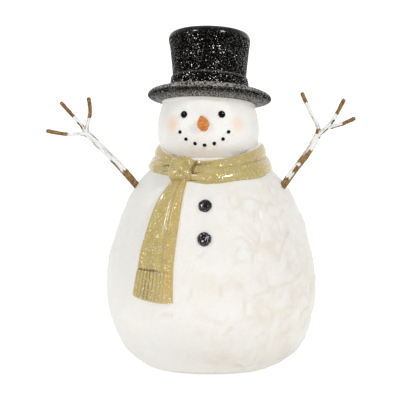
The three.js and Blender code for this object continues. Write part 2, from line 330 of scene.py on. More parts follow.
# %% [markdown]
# ## Curves, turned shapes and pieces
#
# Nearly everything here is turned, like pottery: an outline is drawn as a few points of
# radius and height, a smooth curve is run through them, and `spin` sweeps it round the
# upright axis. Each vertex may then be moved by a rule. The helpers in this step do those
# things, and `piece` turns the result into an object that stands for its engineering parts.


# %% A smooth curve through points
def through(points, share, closed=False):
    """The place at a share of the way along a smooth curve through the points."""
    count = len(points)
    along = share * (count if closed else count - 1)
    first = math.floor(along)
    w = along - first
    a, b, c, d = (
        np.asarray(points[k % count if closed else min(max(k, 0), count - 1)], float)
        for k in range(first - 1, first + 3))
    return 0.5 * (2 * b + (c - a) * w + (2 * a - 5 * b + 4 * c - d) * w**2
                  + (3 * b - a - 3 * c + d) * w**3)


def smooth_line(points, count, closed=False):
    """count + 1 evenly spaced points along a smooth curve through the given ones."""
    fine = 30 * len(points)
    dense = np.array([through(points, k / fine, closed) for k in range(fine + 1)])
    steps = np.linalg.norm(np.diff(dense, axis=0), axis=1)
    run = np.concatenate([[0], np.cumsum(steps)])
    at = np.linspace(0, run[-1], count + 1)
    return np.column_stack([np.interp(at, run, column) for column in dense.T])


def eased(value, low, high):
    """0 below low, 1 above high, and a smooth step between them."""
    t = min(max((value - low) / (high - low), 0.0), 1.0)
    return t * t * (3 - 2 * t)


def hump(value, middle, half):
    """1 at the middle, falling to about a third at a half width away and to 0 beyond."""
    return math.exp(-((value - middle) / half) ** 2)


def around(azimuth, radius, z):
    """The point at an azimuth in degrees from the front towards +X, in millimetres."""
    a = math.radians(azimuth)
    return Vector((radius * math.sin(a), -radius * math.cos(a), z))


def azimuth_of(p):
    return math.degrees(math.atan2(p.x, -p.y))


print("a curve's middle:", through([(0, 0), (1, 2), (2, 0)], 0.5))


# %% Turning and finishing a piece
def standing(at, along):
    """The matrix that moves an upright shape to a place and turns it along a direction."""
    return Matrix.Translation(at) @ along.to_track_quat("Z", "Y").to_matrix().to_4x4()


def turned(outline, turns, ring=False):
    """A bmesh in millimetres: an outline of (radius, height) spun round the upright axis.
    A ring's outline closes on itself."""
    bm = bmesh.new()
    verts = [bm.verts.new((r, 0, z)) for r, z in outline]
    edges = [bm.edges.new(pair) for pair in zip(verts, verts[1:])]
    if ring:
        edges.append(bm.edges.new((verts[-1], verts[0])))
    bmesh.ops.spin(bm, geom=verts + edges, cent=(0, 0, 0), axis=(0, 0, 1), dvec=(0, 0, 0),
                   angle=2 * math.pi, steps=turns, use_merge=True,
                   use_normal_flip=False, use_duplicate=False)
    bmesh.ops.remove_doubles(bm, verts=bm.verts, dist=0.001)
    return bm


def shaped(bm, rule, *masks):
    """Moves every vertex of a bmesh to where the rule says. Where masks are named, the rule
    also gives a number for each, and the mesh carries them under those names."""
    layers = [bm.verts.layers.float.new(mask) for mask in masks]
    for v in bm.verts:
        place, *numbers = rule(v.co.copy()) if masks else (rule(v.co.copy()),)
        v.co = place
        for layer, number in zip(layers, numbers):
            v[layer] = number
    return bm


def piece(name, bm, finish, slot, *nodes, sharp=50):
    """A bmesh in millimetres as a shown piece of the figurine, which stands for the given
    parts."""
    made = as_object(name, bm)
    mesh = made.data
    mesh.transform(Matrix.Scale(MM, 4))
    mesh.shade_smooth()
    mesh.set_sharp_from_angle(angle=math.radians(sharp))
    mesh.materials.append(finish.material)
    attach(made, "root")
    if nodes:
        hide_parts(*nodes)
    print(name, len(mesh.polygons), "faces")
    return made


# %% [markdown]
# ## Snow paint
#
# The casting is painted warm white. A thin beige wash was brushed on and wiped off, so it
# stays in the hollows, and clear glitter over it catches the light in tiny points. A few
# dark specks are stray bits of hat glitter. The mesh carries a "hollow" number where palms
# pressed the snow in, and the wash follows it, broken up by cloudy noise so that it doesn't
# look airbrushed.

# %% Mix the snow paint
SNOW = paint_colour(239, 238, 232)
SNOW_COOL = paint_colour(237, 236, 230)
# the face's white: partly its own whiter paint, partly painted light that lifts the brim's shade
SNOW_FACE_LIT = paint_colour(252, 251, 247)
WASH = paint_colour(222, 207, 186)
BLUSH = paint_colour(247, 203, 160)
SNOW_FLECK = paint_colour(222, 220, 214)   # small grey flecks all over
FOOT_PAINTED_SHADE = paint_colour(196, 194, 188)    # painted shade: the foot is darker where it meets the floor
SPECK = paint_colour(120, 105, 80)
SPECK_SPACING = 17                         # in millimetres


def snow_paint(name, white, wash, blush=()):
    """Snow paint of a white with a share of beige wash and (point, reach, share) spots of
    blush."""
    snow = Finish(name, coat_weight=0.04, coat_roughness=0.3)
    clouds = snow.noise(24, 5).ramp(0.4, 0.72)
    streaks = snow.noise(6, 4, stretch=(1, 1, 0.5)).ramp(0.28, 0.75)
    stain = (snow.mask("hollow") * (0.4 + 0.6 * streaks)
             + snow.mask("worn") * (clouds * 0.42 + streaks * 0.1))
    colour = snow.mix(snow.noise(60, 2).ramp(0.35, 0.65), SNOW_COOL, white)
    colour = snow.mix(snow.noise(1.5, 3).ramp(0.45, 0.7) * 0.3, colour, SNOW_FLECK)
    colour = snow.mix(stain * wash, colour, WASH)
    # painted shade: the white greys towards the foot, darkest where it meets the floor
    colour = snow.mix(snow.mask("foot"), colour, FOOT_PAINTED_SHADE)
    for point, reach, share in blush:
        soft = snow.near(point, 0, reach)
        colour = snow.mix(soft * share, colour, BLUSH)
    away, _, chance = snow.cells(SPECK_SPACING)
    speck = 1 - away.ramp(0.012, 0.03)
    colour = snow.mix(speck * (chance > 0.72) * wash, colour, SPECK)
    held, leaning = snow.flakes(0.6, 0.12, 0.12)
    grain = snow.bump(snow.noise(1.6, 3), 0.05, snow.bump(snow.noise(6, 3), 0.25, leaning))
    return snow.paint(base_color=colour, roughness=0.68 - held * 0.4, normal=grain)


body_paint = snow_paint("body snow paint", SNOW, 0.62)
print("snow paint:", len(body_paint.tree.nodes), "nodes")

# %% [markdown]
# ## The body
#
# The body is a pear-shaped snowball with a small flat under it. It is spun from the same
# outline as the engineering part. Then palms press into it: each print is a soft oval
# hollow with a low rim pushed up beside it. A cell pattern divides the rest into pads of
# pressed snow, each a little higher or lower than the next, with a winding crease between
# them. The left of the front was smoothed over, and the prints and pads crowd on the right
# and round the back. The prints and creases that shape the front are listed one by one, and
# seeded random ones fill the rest.
#
# Three masks are kept on the vertices for the paint: how hollow a spot is, how worn its
# white is, and how near it is to the foot, which is darkened with painted shade.

# %% The body's outline and its palm prints
BODY_OUTLINE = [
    (40, 0), (54, 5), (75, 22), (88.6, 50), (91.6, 77), (88.4, 105),
    (75.2, 145), (66, 162), (58, 172.8), (50, 180.3), (40, 185.4), (34, 187)]
BODY_TURNS = 330
body_line = smooth_line(BODY_OUTLINE, 150)


def radius_at(line, z):
    """The radius of a turned outline at a height."""
    return float(np.interp(z, line[:, 1], line[:, 0]))


def slope_at(line, z, reach=3):
    """How much the radius of a turned outline grows for each millimetre of height."""
    return (radius_at(line, z + reach) - radius_at(line, z - reach)) / (2 * reach)


# Placed prints: azimuth, height, half width, half height, depth (negative swells out), lean.
PLACED_PRINTS = [
    (88, 138, 30, 26, -1.7, 0), (92, 28, 34, 15, -2.0, 0), (96, 108, 16, 9, 0.8, 10),
    (44, 128, 11, 9, -0.9, 10), (24, 122, 12, 10, -0.8, 0), (38, 96, 13, 9, -0.9, 0),
    (8, 92, 13, 11, -0.7, 0), (48, 64, 14, 8, -1.0, 15), (14, 62, 15, 9, -0.8, 0),
    (60, 102, 8, 12, -0.9, 15), (36, 36, 14, 8, -1.0, 20), (8, 30, 16, 9, -0.7, 0)]
# Creases between the pads of pressed snow: azimuth and height of both ends.
PLACED_CREASES = [
    (39, 146, 36, 136), (33, 138, 32, 130), (34, 119, 30, 108), (30, 108, 24, 111),
    (20, 110, 16, 94), (59, 124, 49, 112), (49, 112, 43, 98), (59, 87, 51, 82),
    (51, 82, 35, 75), (35, 75, 25, 66), (23, 67, 23, 54), (57, 78, 55, 60),
    (17, 43, 12, 39), (30, 23, 26, 17), (51, 52, 48, 44), (-6, 76, -8, 67),
    (10, 78, 10, 69), (18, 154, 18, 147), (57, 140, 53, 136), (-17, 55, -25, 51),
    (31, 36, 40, 45), (68, 15, 66, 27), (1, 106, -2, 102)]
PRINTS_MORE = 110
PAD, PAD_DEEP, PAD_STEP = 16, 0.8, 1.1    # a pad's usual width, swell and step to the next
dice = np.random.default_rng(SEED)


def pressed(azimuth):
    """How much the snow at an azimuth was left pressed, from 0 (smoothed) to 1."""
    turn = (azimuth + 30) % 360
    return 0.12 + 0.88 * eased(turn, 18, 62) * (1 - eased(turn, 265, 315))


prints = list(PLACED_PRINTS)
while len(prints) < len(PLACED_PRINTS) + PRINTS_MORE:
    azimuth, z = dice.uniform(-180, 180), dice.uniform(8, 160)
    wide, tall = dice.uniform(5, 12), dice.uniform(4, 10)
    depth, lean = dice.uniform(0.4, 1.0) * pressed(azimuth), dice.uniform(-60, 60)
    if abs(azimuth - 30) > 55 or dice.uniform() < 0.35:
        prints.append((azimuth, z, wide, tall, depth, lean))
print("palm prints:", len(prints), "creases:", len(PLACED_CREASES))


# %% Press the prints and creases
CREASE_DEEP, CREASE_HALF, RIM_HIGH = 1.3, 1.6, 0.35
FOOT_FADE, NECK_Z, NECK_FADE = 6, 178, 16


def pad_at(p):
    """How far a point lies below the top of its pad of snow, in millimetres, and how much it
    lies on the winding crease between two pads."""
    wandering = p / PAD + noise.noise_vector(p / 11) * 0.35
    nearest, middles = noise.voronoi(wandering)
    inside = nearest[1] - nearest[0]
    level = noise.noise(middles[0] * 3.1) * PAD_STEP
    below = PAD_DEEP * (1 - eased(inside, 0.0, 0.7)) - level * eased(inside, 0.0, 0.4)
    crease = (1 - eased(inside, 0.0, 0.24)) * (0.35 + noise.noise(p / 16))
    return below, max(0.0, crease)


def press(points):
    """How far in each point of the body's surface is pressed, in millimetres, and how much
    of that is a crease."""
    azimuths = np.degrees(np.arctan2(points[:, 0], -points[:, 1]))
    radii = np.hypot(points[:, 0], points[:, 1])
    sunk = np.zeros(len(points))
    for azimuth, z, wide, tall, depth, lean in prints:
        across = np.radians((azimuths - azimuth + 180) % 360 - 180) * radii
        up = points[:, 2] - z
        c, s = math.cos(math.radians(lean)), math.sin(math.radians(lean))
        far = ((across * c + up * s) / wide) ** 2 + ((up * c - across * s) / tall) ** 2
        sunk += depth * (np.exp(-far) - 0.3 * np.exp(-((np.sqrt(far) - 1.7) / 0.5) ** 2))
    bends = np.array([noise.noise_vector(Vector(point) / 9) for point in points])
    creased = np.zeros(len(points))
    for a0, z0, a1, z1 in PLACED_CREASES:
        run_x = np.radians(a1 - a0) * radii
        x = np.radians((azimuths - a0 + 180) % 360 - 180) * radii + bends[:, 0] * 2.5
        up = points[:, 2] - z0 + bends[:, 2] * 2.5
        share = np.clip((x * run_x + up * (z1 - z0)) / (run_x**2 + (z1 - z0) ** 2), 0, 1)
        away = np.hypot(x - share * run_x, up - share * (z1 - z0))
        width = CREASE_HALF * (1 + 0.6 * bends[:, 1])
        creased = np.maximum(creased, np.exp(-((away / width) ** 2)) * (1 - 0.4 * share))
        sunk -= RIM_HIGH * np.exp(-(((away / width) - 1.8) / 0.8) ** 2) * (up < 0)
    strength = np.array([pressed(a) for a in azimuths])
    below, joins = np.array([pad_at(Vector(point)) for point in points]).T
    creased = np.maximum(creased, joins * strength)
    return sunk + below * (0.3 + 0.7 * strength) + CREASE_DEEP * creased, creased


body = turned([(0, 0), *body_line, (0, 187)], BODY_TURNS)
hollow = body.verts.layers.float.new("hollow")
worn = body.verts.layers.float.new("worn")
foot = body.verts.layers.float.new("foot")
places = np.array([v.co for v in body.verts])
sunk, creased = press(places)
free = np.clip(places[:, 2] / FOOT_FADE, 0, 1)                  # the flat base stays flat
free *= np.clip((NECK_Z - places[:, 2]) / NECK_FADE, 0, 1)      # and the neck stays round
for v, dent, crease, move in zip(body.verts, sunk, creased, free):
    outward = Vector((v.co.x, v.co.y, (v.co.z - 75) * 0.7)).normalized()
    ripple = noise.fractal(v.co / 26, 1.0, 2.0, 3) * 0.9 * pressed(azimuth_of(v.co))
    ripple += noise.fractal(v.co / 9, 1.0, 2.0, 2) * 0.35 * pressed(azimuth_of(v.co) + 15)
    swell = 0.6 + 1.3 * (1 - eased(v.co.z, 12, 36))
    swell += 1.1 * pressed(azimuth_of(v.co)) * (1 - 0.9 * eased(v.co.z, 90, 130))
    v.co += outward * float(move) * (swell + ripple - float(dent))
    v[hollow] = float(np.clip(dent * 0.22 + 0.34 * crease, 0, 1) * move)
    side = azimuth_of(v.co)
    v[worn] = (pressed(side + 20) * (1 - 0.6 * eased(v.co.z, 80, 140))
               + 0.4 * (1 - eased(v.co.z, 30, 75)) - 0.25 * eased(side, 55, 80))
    # painted shade near the floor: darker towards the bottom, darkest in the last few
    # millimetres
    v[foot] = 0.42 * (1 - eased(v.co.z, 2, 58)) + 0.5 * (1 - eased(v.co.z, 0, 4))
print("deepest print:", round(float(sunk.max()), 2), "mm")


# %% Drill the arm sockets and finish the body
STEM_RADIUS = 2.8
SOCKET_DEPTH, SOCKET_CLEAR = 13, 0.45
DRILL_OUTSIDE = 14             # how much of the drill stays outside the body
STEMS = {
    "left": [(-63.6, -15, 162), (-78.2, -15, 178.8), (-93.2, -15, 194), (-109.2, -15, 209.2)],
    "right": [(64.4, -15, 162.2), (75.3, -15, 177.4), (86.3, -15, 191.9), (96.3, -15, 209.2)]}


def socket_drill(stem):
    """A closed rod along an arm's socket, a little wider than the stem."""
    start, onward = Vector(stem[0]), (Vector(stem[1]) - Vector(stem[0])).normalized()
    drill = bmesh.new()
    middle = start + onward * (DRILL_OUTSIDE - SOCKET_DEPTH) / 2
    radius = STEM_RADIUS + SOCKET_CLEAR
    bmesh.ops.create_cone(
        drill, cap_ends=True, segments=32, radius1=radius, radius2=radius,
        depth=SOCKET_DEPTH + DRILL_OUTSIDE, matrix=standing(middle, onward))
    return drill


def settled(obj):
    """What an object's modifiers make of it, as a bmesh. The object is removed."""
    held = obj.evaluated_get(bpy.context.evaluated_depsgraph_get())
    bm = bmesh.new()
    bm.from_mesh(held.to_mesh())
    bpy.data.objects.remove(obj)
    return bm


block = as_object("body block", body)
drills = [as_object("drill", socket_drill(stem)) for stem in STEMS.values()]
for drill in drills:
    cut = block.modifiers.new("socket", "BOOLEAN")
    cut.operation, cut.solver, cut.object = "DIFFERENCE", "EXACT", drill
body = settled(block)
for drill in drills:
    bpy.data.objects.remove(drill)
body_piece = piece("body_snow", body, body_paint, "snow", "body", sharp=60)

# %% [markdown]
# ## The head
#
# The head is a second snowball, squashed a little and smoother than the body, with a
# rounded chin that sinks into the scarf. Just under the hat a soft crease runs round it, in
# the tilted plane in which the hat sits, and the strip above the crease is the seat that the
# hat was cast with. The cheeks have a brushed blush.

# %% The head's outline
HEAD_OUTLINE = [
    (0, 181.5), (20, 182), (31.5, 184.6), (38.6, 190), (42.9, 198.5), (45.2, 212),
    (43.4, 225), (40.9, 234), (40.2, 240), (39.4, 243)]
HEAD_X = -2.2
SEAT_Z, SEAT_TILT, HAT_X, HAT_TILT, HAT_ROLL = 235.3, 5.0, -1.0, 7.5, 1.8
CREASE_BELOW = 2.7             # how far under the hat the crease runs
SEAT_INSIDE = 3.0              # how far the seat goes up inside the hat
CHEEK_Z, CHEEK_TURN = 215.7, 38.5
head_line = smooth_line(HEAD_OUTLINE, 76)
seat_up = Vector((0, 0, 1))
seat_up.rotate(Euler((math.radians(-SEAT_TILT), 0, 0)))
seat_up.rotate(Euler((0, math.radians(HAT_ROLL), 0)))


def head_shape(p):
    """Moves the turned head into place and runs the crease round it under the hat."""
    outward = Vector((p.x, p.y, 0)).normalized()
    p.x += HEAD_X
    below = (Vector((HAT_X, 0, SEAT_Z)) - p).dot(seat_up)
    crease = hump(below, CREASE_BELOW, 0.75)
    lip = 1 - eased(below, 0.2, CREASE_BELOW)
    ripple = noise.fractal(p / 24, 1.0, 2.0, 2) * 0.35
    p += seat_up * min(0.0, below + SEAT_INSIDE)
    # the wash is heavier towards the chin and in the crease under the hat: partly wash, partly
    # painted shade under the chin and the brim
    hollow = eased(200 - p.z, 0, 14) * 0.25 + crease * 1.2 + 0.7 * lip
    return p + outward * (ripple + 0.5 * lip - 0.65 * crease), hollow, 0.2


def cheek(azimuth):
    return around(azimuth, radius_at(head_line, CHEEK_Z), CHEEK_Z) + Vector((HEAD_X, 0, 0))


# painted light: a warm blush spot under the chin stands for light bounced up from the scarf
chin_bounce_glow = Vector((HEAD_X, -36, 183))
head_paint = snow_paint("face snow paint", SNOW_FACE_LIT, 0.4, [
    (cheek(-CHEEK_TURN), 11.5, 0.62), (cheek(CHEEK_TURN), 11.5, 0.45), (chin_bounce_glow, 26, 0.2)])
head_piece = piece(
    "head_snow", shaped(turned([*head_line, (0, 243)], 192), head_shape, "hollow", "worn"),
    head_paint, "snow", "head")

# %% [markdown]
# ## Glitter paint for the hat
#
# The hat is black paint under a crust of fine glitter. Up close that is thousands of tiny
# flat mirrors, each leaning its own way. A cell pattern gives every cell its own chance and
# its own lean: the cells that hold a flake turn metallic and tip the normal. Where the
# surface faces the dark side of the room they stay dark, and at the edges they go grey.

# %% Mix the hat's glitter
HAT_BLACK = paint_colour(4, 4, 4)
HAT_SPARK = paint_colour(120, 118, 114)
HAT_FROST_AND_SHEEN = paint_colour(172, 170, 165)    # denser glitter dust on the brim, with a painted highlight on its edge and a painted reflection under it
hat_glitter = Finish("hat glitter", coat_roughness=0.12, shine=0.02)
frost_and_sheen = hat_glitter.mask("frost_and_sheen")
held, leaning = hat_glitter.flakes(0.8, 0.26, 0.5)
held = held * (1 - hat_glitter.mask("lacquer"))
fine = hat_glitter.noise(1.2, 2).ramp(0.35, 0.75)
colour = hat_glitter.mix(held * (0.1 + 0.9 * fine), HAT_BLACK, HAT_SPARK)
# pale glitter dust on the brim and the band, partly painted highlight and painted reflection
hat_glitter.paint(
    base_color=hat_glitter.mix(frost_and_sheen * fine, colour, HAT_FROST_AND_SHEEN),
    coat_weight=hat_glitter.mask("lacquer"), metallic=held * 0.9 * (1 - frost_and_sheen),
    roughness=0.6 - held * 0.42, normal=leaning)
print("hat glitter:", len(hat_glitter.tree.nodes), "nodes")

# %% [markdown]
# ## The hat
#
# Brim and crown are one turned outline. The crown flares a little towards its top, as on a
# real top hat, the brim has a thick rounded edge, and the whole hat tips back on the head
# and leans to one side. `set_hat` is the rule that does the tipping, and the band uses it
# too, so that it stays on the crown.

# %% The hat's outline and how it sits
CROWN_LEAN, CROWN_SLOPE = -0.042, 0.02
BRIM_INNER, BRIM_EDGE, BRIM_CURL = 40.0, 54.8, 1.8
HAT_HEIGHT, HAT_TURNS = 64.1, 176
HAT_UNDERSIDE = [(0, 0), (20, 0), (39.5, 0.05), (46, 1.2), (51, 2.7), (53.6, 3.9)]
HAT_EDGE = [(54.8, 5.4), (54.6, 6.9), (53.2, 7.9), (50.5, 8.1)]
HAT_CROWN = [
    (46, 7.3), (41, 6.8), (35, 6.8), (33.0, 7.4), (32.7, 10), (32.7, 18), (33.0, 28),
    (33.6, 36), (35.2, 49), (36.2, 55), (36.3, 58.2), (35.4, 61), (33.4, 62.8), (28, 63.6),
    (18, 63.8), (8, 64.0), (0, 64.1)]


def set_hat(p):
    """Leans a point of the upright hat back and sideways about its seat, and curls the brim.
    Also gives how much glitter dust and painted light it carries, and how lacquered it is."""
    radius = math.hypot(p.x, p.y)
    brim = max(0.0, (radius - BRIM_INNER) / (BRIM_EDGE - BRIM_INNER))
    front = max(0.0, -p.y / max(radius, 1))
    tilt = SEAT_TILT + (HAT_TILT - SEAT_TILT) * eased(p.z, 0, 6)
    p.z += CROWN_SLOPE * p.x * (p.z / HAT_HEIGHT)
    p.x += CROWN_LEAN * p.z
    p.z += BRIM_CURL * brim**2 * front**2
    # Glitter dust and painted light: a painted highlight along the brim's upper edge, a painted
    # reflection of the floor under the brim, and a painted highlight along the band's top edge.
    frost_and_sheen = 1.3 * eased(brim, 0.0, 0.3) * eased(p.z, 5.0, 6.2) * (1 - eased(p.z, 12, 14))
    frost_and_sheen += (1.15 - 1.15 * eased(brim, 0.4, 0.9)) * (1 - eased(p.z, 3.6, 4.4)) * (radius > 35)
    lacquer = 0.7 * eased(p.z, 56, 59) * eased(radius, 30, 34)
    frost_and_sheen += 0.6 * eased(radius, 33.2, 33.6) * eased(p.z, 21.7, 22.4) * (1 - eased(p.z, 24, 26))
    p += Vector((p.x, p.y, 0)) * noise.fractal(p / 30, 1.0, 2.0, 2) * 0.008
    p.rotate(Euler((math.radians(-tilt), 0, 0)))
    p.rotate(Euler((0, math.radians(HAT_ROLL), 0)))
    return p + Vector((HAT_X, 0, SEAT_Z)), frost_and_sheen, lacquer


hat_line = smooth_line([*HAT_UNDERSIDE, *HAT_EDGE, *HAT_CROWN], 150)
hat_piece = piece("hat_felt", shaped(turned(hat_line, HAT_TURNS), set_hat, "frost_and_sheen", "lacquer"),
                  hat_glitter, "hat", "hat")

# %% The hat's band
BAND_OUTLINE = [
    (33.0, 6.9), (34.6, 6.9), (35.6, 7.4), (36.1, 9), (35.7, 12), (35.2, 15), (34.6, 19.5),
    (34.3, 21.9), (33.7, 23.1), (32.6, 23.3), (32.4, 15)]
band_line = smooth_line(BAND_OUTLINE, 48, closed=True)[:-1]
band_piece = piece(
    "hat_band_ring",
    shaped(turned(band_line, HAT_TURNS, ring=True), set_hat, "frost_and_sheen", "lacquer"),
    hat_glitter, "hat", "hat_band")

# %% [markdown]
# ## Gold paint for the scarf
#
# The scarf is khaki gold with a satin lacquer and glitter in it. Its creases are darkened
# with painted shade, the gold is paler in cloudy patches, and here and there it turns warmer.
# Only the scarf's outward faces were painted gold: its top edge behind the folds and the cut
# side of its tail stayed white. The mesh carries three numbers for this: "crease", "warm"
# and "bare".

# %% Mix the scarf's gold
GOLD = paint_colour(181, 159, 90)
GOLD_PALE = paint_colour(195, 175, 112)
# painted shade for the scarf's creases, grooves and seams
GOLD_PAINTED_SHADE = paint_colour(114, 90, 38)
GOLD_WARM = paint_colour(202, 167, 86)
GOLD_SPARK = paint_colour(232, 218, 172)
SCARF_BARE = paint_colour(238, 229, 218)
scarf_gold = Finish("scarf gold", coat_weight=0.75, coat_roughness=0.13)
cloud = scarf_gold.noise(9, 4)
warm = (scarf_gold.noise(26, 2) * 0.8 + scarf_gold.mask("warm")).ramp(0.5, 1.1)
colour = scarf_gold.mix(cloud.ramp(0.3, 0.75), GOLD, GOLD_PALE)
colour = scarf_gold.mix(warm * 0.75, colour, GOLD_WARM)
# painted shade: the crease number darkens the gold in the folds
colour = scarf_gold.mix(scarf_gold.mask("crease").ramp(0.1, 1.0) * 0.9, colour, GOLD_PAINTED_SHADE)
held, leaning = scarf_gold.flakes(0.8, 0.2, 0.6)
colour = scarf_gold.mix(held * 0.3, colour, GOLD_SPARK)
bare = scarf_gold.mask("bare").ramp(0.1, 0.35)
scarf_gold.paint(
    base_color=scarf_gold.mix(bare, colour, SCARF_BARE),
    metallic=held * (1 - bare) * 0.22, roughness=0.5 - held * 0.2,
    normal=scarf_gold.bump(scarf_gold.noise(1.4, 3), 0.1, leaning))
print("scarf gold:", len(scarf_gold.tree.nodes), "nodes")

# %% [markdown]
# ## The scarf's wrap
#
# Two rolls of cloth go round the neck as one band. Its bottom and top edges are closed
# curves that dip at the front. A section with two bulges is swept between them: the spun
# ring below carries the section, and a rule lays each of its vertices between the edges.
# Where the band goes into the knot it is gathered, so a few short creases are pressed into
# it there, each a line on the surface with a soft trough along it.

# %% The wrap's edges and creases
# Every 45 degrees from the front: bottom radius and height, top radius and height, thickness.
WRAP = [
    (64, 162.4, 47.5, 182, 7.2), (59.5, 167.2, 44.8, 190.2, 6.4),
    (50, 173.4, 41.5, 200.4, 6.2), (48.5, 177, 40.5, 203, 6), (48, 178, 40.5, 204, 6),
    (48.5, 177.4, 40.5, 203, 6), (50, 174.4, 41.5, 200, 6.2), (56.5, 171, 44.8, 188.6, 6.4)]
# The band's section: share of the thickness and share of the height.
WRAP_SECTION = [
    (-0.6, 0.03), (0.15, 0.0), (0.62, 0.05), (0.9, 0.14), (1.0, 0.27), (0.93, 0.41),
    (0.74, 0.52), (0.66, 0.56), (0.76, 0.61), (0.87, 0.7), (0.84, 0.82), (0.66, 0.93),
    (0.3, 0.99), (-0.2, 1.02), (-0.6, 1.05)]
WRAP_SEAM = 0.56   # the share of the height at which the two rolls meet
WRAP_RADIUS = 59   # about how far the wrap's front stands from the axis
WRAP_CORE = 10.0   # radius of the plain ring before it is laid on the shoulders
# Creases: azimuth and height of both ends, depth, half width, and how much shallower the
# far end is.
WRAP_CREASES = [
    (-12, 179.8, 6, 181.5, 1.8, 0.9, 0.7), (-11, 173.3, -2, 173.4, 1.8, 0.8, 0.7),
    (-12, 166.8, -4, 166.6, 0.8, 0.7, 0.7),
    (-8, 183.4, -11, 180.2, 1.4, 0.9, 0), (-11, 180.2, -12.8, 176, 1.8, 0.9, 0),
    (-12.8, 176, -11.9, 167.5, 1.8, 0.9, 0), (-25, 186, -29.5, 179, 1.4, 0.9, 0),
    (-29.5, 179, -27.5, 169, 1.4, 0.9, 0), (-29, 180.2, -41, 179.6, 1.8, 0.8, 0.6),
    (-29, 176, -40, 174.2, 0.9, 0.8, 0.7), (-29, 184, -44, 186.0, 0.7, 0.9, 0.7)]
wrap_low = [tuple(around(45 * k, row[0], row[1])) for k, row in enumerate(WRAP)]
wrap_high = [tuple(around(45 * k, row[2], row[3])) for k, row in enumerate(WRAP)]


def unrolled(azimuth, z):
    """A place on the wrap as a point of its unrolled surface, in millimetres."""
    return Vector((math.radians(azimuth) * WRAP_RADIUS, z))


def crease_depth(azimuth, z):
    """How far the creases press into the wrap at an azimuth and height, in millimetres."""
    deepest, here = 0.0, unrolled(azimuth, z)
    for a0, z0, a1, z1, depth, half, fading in WRAP_CREASES:
        start = unrolled(a0, z0)
        run = unrolled(a1, z1) - start
        share = min(max((here - start).dot(run) / run.length_squared, 0.0), 1.0)
        away = (here - start - run * share).length
        deepest = max(deepest, depth * (1 - fading * share) * hump(away, 0, half))
    return deepest


# %% Sweep the wrap
def lay_wrap(p):
    """Carries a vertex of the plain ring to its place between the wrap's edges. Also gives how
    much painted shade it gets in creases, seam and bottom edge, and how bare of gold it is."""
    turn = (math.atan2(p.x, -p.y) / (2 * math.pi)) % 1.0
    share = math.hypot(p.x, p.y) - WRAP_CORE
    row = turn * len(WRAP)
    here, onward = WRAP[int(row) % 8][4], WRAP[(int(row) + 1) % 8][4]
    thick = here + (onward - here) * eased(row % 1, 0, 1)
    low = Vector(through(wrap_low, turn, closed=True))
    chord = Vector(through(wrap_high, turn, closed=True)) - low
    out = Vector((p.x, p.y, 0))
    out = (out - out.project(chord)).normalized()
    up = p.z
    at = low + chord * up + out * thick * share
    azimuth = azimuth_of(at)
    faces_out = eased(share, 0.2, 0.6)
    parted = eased(abs(azimuth + 6), 22, 56)      # the two rolls part towards the sides
    at += out * (1 - parted) * 1.5 * hump(up, WRAP_SEAM, 0.13)
    sunk = crease_depth(azimuth, at.z) * faces_out
    slant = at.z - 0.12 * azimuth
    folds = noise.fractal(Vector((azimuth / 26, slant / 3.4, 4)), 1.0, 2.0, 3) * 0.4
    at += out * (folds * faces_out - sunk)
    # painted shade along the seam between the two rolls and along the bottom edge
    valley = hump(up, WRAP_SEAM, 0.05) * (0.1 + 0.5 * parted)
    valley += hump(up, 0, 0.05) * 0.6
    return at, min(1.0, (sunk / 0.9 + valley) * faces_out), eased(up, 0.94, 1.0)


wrap_section = smooth_line(WRAP_SECTION, 60)
wrap_ring = [(WRAP_CORE + share, up) for share, up in wrap_section]
wrap_piece = piece(
    "scarf_wrap_cloth", shaped(turned(wrap_ring, 300, ring=True), lay_wrap, "crease", "bare"),
    scarf_gold, "scarf", "scarf_wrap")

# %% [markdown]
# ## The scarf's knot
#
# The knot is a short length of the same cloth pulled over itself. It starts as a ball,
# squared up towards a block, and slanting folds are raised on it: one broad fold that comes
# over from the top and smaller ones under it. It leans back with the chest, and its folds and
# its sides, where they go into the wrap, are darkened with painted shade.

# %% Model the knot
KNOT_AZIMUTH, KNOT_RADIUS, KNOT_Z = -19.6, 59.5, 175.4
KNOT_SIZE = Vector((11.2, 9.4, 11.8))
KNOT_LEAN = math.radians(32)
KNOT_SQUARE = 0.72
knot_turn = Euler((-KNOT_LEAN, 0, math.radians(KNOT_AZIMUTH)))


def lay_knot(p):
    """Squares the ball, raises its folds and sets it on the chest. Also gives how much painted
    shade each spot gets, in the folds and on the sides that go into the wrap."""
    across, up = p.x, p.z
    slant = across * 0.55 + up                     # folds run down to the left
    fold = math.cos(slant * 7.5 + 0.6 * math.sin(across * 3))
    front = max(0.0, -p.y)
    p = Vector([math.copysign(abs(c) ** KNOT_SQUARE, c) for c in p])
    p *= 1 + 0.04 * fold * front + 0.04 * math.sin(up * 2 + 1) * front
    p = Vector([c * s for c, s in zip(p, KNOT_SIZE)])
    p.x *= 1 - 0.10 * up                           # wider at the bottom than at the top
    p.rotate(knot_turn)
    p += around(KNOT_AZIMUTH, KNOT_RADIUS, KNOT_Z)
    # painted shade: the troughs of the folds and the knot's sides are darkened
    return p, min(1.0, max(0.0, -fold * 0.45) + 0.8 * eased(abs(across), 0.85, 1.0))


bm = bmesh.new()
bmesh.ops.create_uvsphere(bm, u_segments=72, v_segments=48, radius=1)
knot_piece = piece("scarf_knot_cloth", shaped(bm, lay_knot, "crease"), scarf_gold, "scarf",
                   "scarf_knot")

# %% [markdown]
# ## The scarf's hanging tail
#
# The tail is a strip in relief on the chest, with a left and a right edge curve. A flat
# grid is laid between the two and lifted off the chest by the height of the relief: folds
# that fan out from the knot, a ridge along the right third, a stepped hem, and a fringe of
# cords below it. A second grid behind it is joined on by `bridge_loops`, so that the strip is
# a closed slab. Its side walls slant outwards to the chest, and they stayed white.

